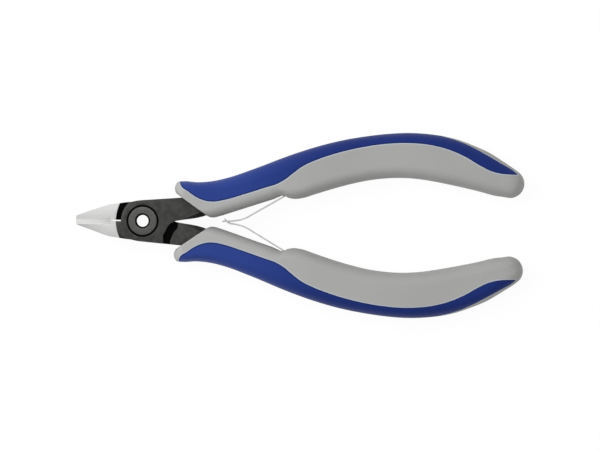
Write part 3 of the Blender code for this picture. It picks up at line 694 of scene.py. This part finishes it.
def section_ring(row):
    """All points round one section, in the tool frame."""
    outer, inner, deep = row[:2], row[2:4], row[4]
    middle, across = (outer + inner) / 2, (outer - inner) / 2
    width = max(np.linalg.norm(across), 1e-6)
    side, up = section_quarter(width, max(deep, 1e-6))
    side = np.concatenate((side[:-1], -side[::-1][:-1], -side[:-1], side[::-1][:-1]))
    up = np.concatenate((up[:-1], up[::-1][:-1], -up[:-1], -up[::-1][:-1]))
    plan = middle + (across / width) * side[:, None]
    return np.column_stack((plan, up))


def grip_skin():
    """The closed skin of the upper grip, in millimetres."""
    rows = smooth_through(sections, STATIONS + 1)
    rows[:, 4] = rows[:, 4].clip(0.0, HALF_GRIP)
    rings = [section_ring(row) for row in rows]
    for end in (0, -1):
        rings[end][:] = rings[end].mean(axis=0)
    bm = bmesh.new()
    bmesh.ops.create_grid(bm, x_segments=STATIONS, y_segments=RING_POINTS, size=1.0)
    for vert in bm.verts:
        station = round((vert.co.x + 1) / 2 * STATIONS)
        turn = round((vert.co.y + 1) / 2 * RING_POINTS) % RING_POINTS
        vert.co = rings[station][turn]
    bmesh.ops.remove_doubles(bm, verts=bm.verts, dist=MERGE_DISTANCE)
    bmesh.ops.recalc_face_normals(bm, faces=bm.faces)
    bm.normal_update()
    inwards = bm.verts.layers.float_vector.new("inwards")
    for vert in bm.verts:
        vert[inwards] = -vert.normal
    return bm


def sink(bm, faces, depth):
    """Extrudes faces of the skin inwards; the old faces stay, and the ways inwards aren't needed later."""
    inwards = bm.verts.layers.float_vector["inwards"]
    grown = bmesh.ops.extrude_face_region(bm, geom=faces)["geom"]
    for vert in [v for v in grown if isinstance(v, bmesh.types.BMVert)]:
        vert.co += vert[inwards] * depth
    bm.verts.layers.float_vector.remove(inwards)


# %% [markdown]
# ## The border between grey and blue
# Seen from above, blue fills a closed outline: the border on the face, the short border beside the grey
# spine of the tail, and a line well outside the grip, because blue wraps the outer side. For every point
# of the skin the script works out how far it is from that outline. Blue is positive and grey negative.

# %% Border distance
INNER_BORDER = [(10.45, 12.6), (10.35, 10.6), (10.75, 9.75), (12.3, 8.65), (15.0, 6.85), (17.4, 5.93),
                (19.6, 5.72), (22.5, 6.2), (28.0, 7.85), (34.0, 9.85), (37.5, 11.05), (39.5, 12.2),
                (42.0, 14.19), (44.5, 16.05), (48.0, 17.74), (53.0, 19.55), (60.0, 21.42), (67.0, 22.6),
                (74.5, 23.0), (81.0, 22.38), (86.0, 21.02), (90.0, 19.27), (94.0, 16.97), (97.0, 15.55),
                (100.0, 14.88), (102.5, 14.75), (104.5, 14.75)]
SPINE_BORDER = [(103.0, 15.98), (99.0, 18.2), (96.0, 19.88), (93.0, 21.5), (90.0, 22.94), (87.0, 24.06),
                (85.0, 24.66), (83.9, 25.0), (83.3, 25.6)]
OUTSIDE = [(80.0, 32.0), (10.6, 32.0)]
BAND = 1.0  # the skin is cut into triangles this near the border, so that a knife always finds its way
outline = np.vstack((smooth_through(INNER_BORDER, 240), smooth_through(SPINE_BORDER, 60), OUTSIDE))


def border_distance(points):
    """Signed distances of plan points from the border, and the direction in which each grows."""
    starts, ends = outline, np.roll(outline, -1, axis=0)
    along = ends - starts
    best = np.full(len(points), np.inf)
    nearest = np.zeros_like(points)
    inside = np.zeros(len(points), bool)
    for start, step, end in zip(starts, along, ends):
        share = np.clip(((points - start) @ step) / (step @ step), 0.0, 1.0)
        foot = start + share[:, None] * step
        gap = np.linalg.norm(points - foot, axis=1)
        closer = gap < best
        best[closer], nearest[closer] = gap[closer], foot[closer]
        crosses = (start[1] > points[:, 1]) != (end[1] > points[:, 1])
        if step[1] != 0:
            inside ^= crosses & (points[:, 0] < start[0] + (points[:, 1] - start[1]) * step[0] / step[1])
    sign = np.where(inside, 1.0, -1.0)
    growing = (points - nearest) * sign[:, None] / np.maximum(best, 1e-9)[:, None]
    return best * sign, growing


def mark_border(bm):
    """Stores each vertex's distance from the border, measured along the skin."""
    layer = bm.verts.layers.float.new("border")
    inwards = bm.verts.layers.float_vector["inwards"]
    points = np.array([v.co[:] for v in bm.verts])
    ways_in = np.array([v[inwards][:] for v in bm.verts])
    distance, growing = border_distance(points[:, :2])
    tilt = np.sum(growing * ways_in[:, :2], axis=1)
    along_skin = distance / np.sqrt(np.clip(1 - tilt ** 2, 0.12, 1.0))
    for vert, value in zip(bm.verts, along_skin):
        vert[layer] = value
    band = [f for f in bm.faces if min(abs(v[layer]) for v in f.verts) < BAND]
    bmesh.ops.triangulate(bm, faces=band)
    return layer


# %% [markdown]
# ## A knife that follows the border
# To model the shut line, the skin needs edges that run exactly along it. Every edge that crosses a given
# distance is split there, and the new points are joined across their faces. Several cuts side by side
# give the rolled lip its round section.

# %% Knife
SNAP = 0.012


def cut_at(bm, layer, level):
    """Splits the skin along the line where the border distance has one value."""
    on_line = {v for v in bm.verts if abs(v[layer] - level) < SNAP}
    for vert in on_line:
        vert[layer] = level
    crossing = [e for e in bm.edges if not on_line & set(e.verts)
                and (e.verts[0][layer] - level) * (e.verts[1][layer] - level) < 0]
    for edge in crossing:
        first, second = edge.verts
        share = (level - first[layer]) / (second[layer] - first[layer])
        _, added = bmesh.utils.edge_split(edge, first, share)
        added[layer] = level
        on_line.add(added)
    bmesh.ops.connect_verts(bm, verts=list(on_line))


def press_lip(bm, layer, edge_at, width, depth, sign):
    """Rolls the skin down over the last stretch before an edge; the sign points away from the edge."""
    inwards = bm.verts.layers.float_vector["inwards"]
    for vert in bm.verts:
        far = (vert[layer] - edge_at) * sign
        if 0 <= far < width:
            fall = 1 - math.sqrt(max(0.0, 1 - ((width - far) / width) ** 2))
            vert.co += vert[inwards] * depth * fall


# %% [markdown]
# ## Grey body and blue inlay
# The grey body is the skin with a bed sunk where the blue goes, and the blue inlay is the part of the
# skin over that bed, given a wall. Both edges roll down to the shut line. The lower grip is the upper one
# turned half round the long axis, as a pair of these grips is.

# %% Grip pieces
LIP_WIDTH = 0.3
LIP_DEPTH = 0.12
SHUT_GAP = 0.03
BED_DEPTH = 1.5
INLAY_WALL = 1.3
LIP_STEPS = (0.0, 0.18, 0.42, 0.7, 1.0)  # shares of the lip's width at which the skin is cut


def grey_bmesh():
    """The grey body of the upper grip, with its bed for the inlay."""
    bm = grip_skin()
    layer = mark_border(bm)
    for step in LIP_STEPS:
        cut_at(bm, layer, -step * LIP_WIDTH)
    press_lip(bm, layer, 0.0, LIP_WIDTH, LIP_DEPTH, -1)
    bed = [f for f in bm.faces if sum(v[layer] for v in f.verts) > 0]
    sink(bm, bed, BED_DEPTH - LIP_DEPTH)
    bmesh.ops.delete(bm, geom=bed, context="FACES")
    return bm


def blue_bmesh():
    """The blue inlay of the upper grip."""
    bm = grip_skin()
    layer = mark_border(bm)
    for step in LIP_STEPS:
        cut_at(bm, layer, SHUT_GAP + step * LIP_WIDTH)
    outside = [f for f in bm.faces if sum(v[layer] - SHUT_GAP for v in f.verts) < 1e-4]
    bmesh.ops.delete(bm, geom=outside, context="FACES")
    press_lip(bm, layer, SHUT_GAP, LIP_WIDTH, LIP_DEPTH, 1)
    sink(bm, bm.faces[:], INLAY_WALL - LIP_DEPTH)
    bmesh.ops.recalc_face_normals(bm, faces=bm.faces)
    return bm


def turned_over(bm):
    """The same bmesh turned half round the tool's long axis."""
    other = bm.copy()
    bmesh.ops.rotate(other, verts=other.verts, cent=(0, 0, 0), matrix=Matrix.Rotation(math.pi, 3, "X"))
    return other


grey_upper, blue_upper = grey_bmesh(), blue_bmesh()
grey_lower, blue_lower = turned_over(grey_upper), turned_over(blue_upper)
upper_inlay = make_piece("upper_inlay_blue", mesh_of(blue_upper, "upper_inlay"), blue_plastic)
lower_inlay = make_piece("lower_inlay_blue", mesh_of(blue_lower, "lower_inlay"), blue_plastic)

# %% [markdown]
# ## The mouth of a grip
# The steel goes into the grip's front end and the spring's foot into a notch on its inner side. The mouth
# is cut with the half itself: a copy of its neck and tang, grown by a hair, is taken out of the grey body,
# so the gap is even all round. The pocket of the spring's foot is a thin block along the leaf.

# %% Mouth and pocket
MOUTH_GAP = 0.09
NECK_START_X = 6.0
LEAF_ROOT = (39.6, 7.62)
LEAF_ANGLE = math.radians(30.4)
POCKET = (7.0, 1.15, 3.5)  # length, thickness and width of the spring's pocket


def neck_cutter(node):
    """The neck and tang of a half, grown by the mouth's gap."""
    bm = merged_copy(node)
    whole = bm.verts[:] + bm.edges[:] + bm.faces[:]
    cut = bmesh.ops.bisect_plane(bm, geom=whole, plane_co=(NECK_START_X, 0, 0), plane_no=(1, 0, 0),
                                 clear_inner=True)
    rim = [e for e in cut["geom_cut"] if isinstance(e, bmesh.types.BMEdge)]
    bmesh.ops.holes_fill(bm, edges=rim, sides=0)
    bmesh.ops.recalc_face_normals(bm, faces=bm.faces)
    bm.normal_update()
    for vert, move in [(v, v.normal * MOUTH_GAP * v.calc_shell_factor()) for v in bm.verts]:
        vert.co += move
    return bm


def pocket_cutter(side):
    """The block that clears the foot of a leaf, on the upper (1) or lower (-1) grip."""
    bm = bmesh.new()
    bmesh.ops.create_cube(bm, size=1.0)
    bmesh.ops.scale(bm, vec=POCKET, verts=bm.verts)
    bmesh.ops.rotate(bm, verts=bm.verts, cent=(0, 0, 0), matrix=Matrix.Rotation(side * LEAF_ANGLE, 3, "Z"))
    bmesh.ops.translate(bm, vec=(LEAF_ROOT[0], side * LEAF_ROOT[1], 0), verts=bm.verts)
    return bm


def cut_piece(piece, cutters):
    """Takes the cutters out of a piece and keeps the result as its mesh."""
    helpers = []
    for number, cutter in enumerate(cutters):
        helper = bpy.data.objects.new(f"cutter_{number}", mesh_of(cutter, f"cutter_{number}"))
        bpy.context.scene.collection.objects.link(helper)
        modifier = piece.modifiers.new(helper.name, "BOOLEAN")
        modifier.operation, modifier.solver, modifier.object = "DIFFERENCE", "EXACT", helper
        helpers.append(helper)
    bpy.context.view_layer.update()
    cut = bpy.data.meshes.new_from_object(piece.evaluated_get(bpy.context.evaluated_depsgraph_get()))
    piece.modifiers.clear()
    piece.data = cut
    for helper in helpers:
        bpy.data.objects.remove(helper)
    cut.set_sharp_from_angle(angle=math.radians(40))
    print(piece.name, "cut, now", len(cut.polygons), "faces")


upper_body = make_piece("upper_body_grey", mesh_of(grey_upper, "upper_body"), grey_plastic)
lower_body = make_piece("lower_body_grey", mesh_of(grey_lower, "lower_body"), grey_plastic)
cut_piece(upper_body, [neck_cutter("front_half"), pocket_cutter(1)])
cut_piece(lower_body, [neck_cutter("rear_half"), pocket_cutter(-1)])

# %% [markdown]
# ## The double leaf spring
# Two leaves of bright strip push the handles apart. Each is clamped in its grip and runs forward, and the
# lower one ends in a narrow tongue that is bent up through an eye in the upper one. A leaf is a narrow
# grid bent along its route, with the eye or the tongue cut out before it gets its thickness.

# %% Leaves
LEAF_WIDTH = 3.2
LEAF_THICKNESS = 0.45
LEAF_BREAK = 0.09
LEAF_BEND = 60  # the least bend, in degrees, of an edge that gets it
FOOT_LENGTH = 3.2
LEAF_STEPS = 160
UPPER_ROUTE = [(39.6, 7.62), (36.6, 5.86), (33.4, 3.98), (31.0, 2.58), (29.0, 1.42), (27.2, 0.76),
               (25.4, 0.46), (22.2, 0.24)]
LOWER_ROUTE = [(39.6, -7.62), (36.6, -5.86), (33.4, -3.98), (31.0, -2.58), (29.0, -1.42), (27.2, -0.76),
               (25.6, -0.44), (24.4, -0.27), (24.0, -0.08), (22.85, 0.98)]
EYE_X = (22.85, 24.5)
EYE_HALF = 0.95
TONGUE_X = 25.4
TONGUE_HALF = 0.65


def leaf_bmesh(route, side, column, is_removed):
    """A leaf along its route; the column is where its width is divided for the eye or the tongue."""
    foot = (route[0][0] + FOOT_LENGTH * math.cos(LEAF_ANGLE),
            route[0][1] + side * FOOT_LENGTH * math.sin(LEAF_ANGLE))
    path = smooth_through([foot, *route], LEAF_STEPS + 1)
    columns = (-LEAF_WIDTH / 2, -column, column, LEAF_WIDTH / 2)
    bm = bmesh.new()
    bmesh.ops.create_grid(bm, x_segments=LEAF_STEPS, y_segments=3, size=1.0)
    for vert in bm.verts:
        step = round((vert.co.x + 1) / 2 * LEAF_STEPS)
        row = round((vert.co.y + 1) / 2 * 3)
        vert.co = (*path[step], columns[row])
    gone = [f for f in bm.faces if is_removed(f.calc_center_median())]
    bmesh.ops.delete(bm, geom=gone, context="FACES")
    bmesh.ops.recalc_face_normals(bm, faces=bm.faces)
    bm.normal_update()
    for vert, move in [(v, v.normal * LEAF_THICKNESS / 2) for v in bm.verts]:
        vert.co += move
    grown = bmesh.ops.extrude_face_region(bm, geom=bm.faces[:])["geom"]
    bm.normal_update()
    far = [v for v in grown if isinstance(v, bmesh.types.BMVert)]
    for vert, move in [(v, v.normal * LEAF_THICKNESS) for v in far]:
        vert.co -= move
    bmesh.ops.recalc_face_normals(bm, faces=bm.faces)
    soften(bm, sharp_edges(bm, LEAF_BEND), LEAF_BREAK, 2)
    return bm


def in_eye(spot):
    """Whether a face of the upper leaf lies in its eye."""
    return EYE_X[0] < spot.x < EYE_X[1] and abs(spot.z) < EYE_HALF


def beside_tongue(spot):
    """Whether a face of the lower leaf lies beside its tongue."""
    return spot.x < TONGUE_X and abs(spot.z) > TONGUE_HALF


upper_mesh = mesh_of(leaf_bmesh(UPPER_ROUTE, 1, EYE_HALF, in_eye), "upper_leaf")
lower_mesh = mesh_of(leaf_bmesh(LOWER_ROUTE, -1, TONGUE_HALF, beside_tongue), "lower_leaf")
upper_leaf = make_piece("upper_leaf_strip", upper_mesh, spring_steel)
lower_leaf = make_piece("lower_leaf_strip", lower_mesh, spring_steel)

# %% [markdown]
# ## Which piece rides on which body
# Every new piece stands for one node of the imported model, takes that node's finish and moves with the
# same lever. The leaves stand for their nodes too, but ride on no body and stay where they are drawn.

# %% Riding
rides = [
    (front_half, "upper_lever", "front_half", "dark_steel"),
    (rear_half, "lower_lever", "rear_half", "dark_steel"),
    (joint_screw, "lower_lever", "joint_screw", "joint_steel"),
    (joint_nut, "lower_lever", "joint_nut", "joint_steel"),
    (upper_body, "upper_lever", "upper_grip_body", "grey_plastic"),
    (lower_body, "lower_lever", "lower_grip_body", "grey_plastic"),
    (upper_inlay, "upper_lever", "upper_grip_inlay", "blue_plastic"),
    (lower_inlay, "lower_lever", "lower_grip_inlay", "blue_plastic"),
]
for piece, body, node, slot in rides:
    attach(piece, body)
    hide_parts(node)

for piece, side, word in ((upper_leaf, 1, "upper"), (lower_leaf, -1, "lower")):
    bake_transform(piece)
    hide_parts(f"{word}_spring_leaf")

# %% [markdown]
# ## The view transform
# The render shows its colours through Blender's Standard view transform.

# %% View transform
bpy.context.scene.view_settings.view_transform = "Standard"
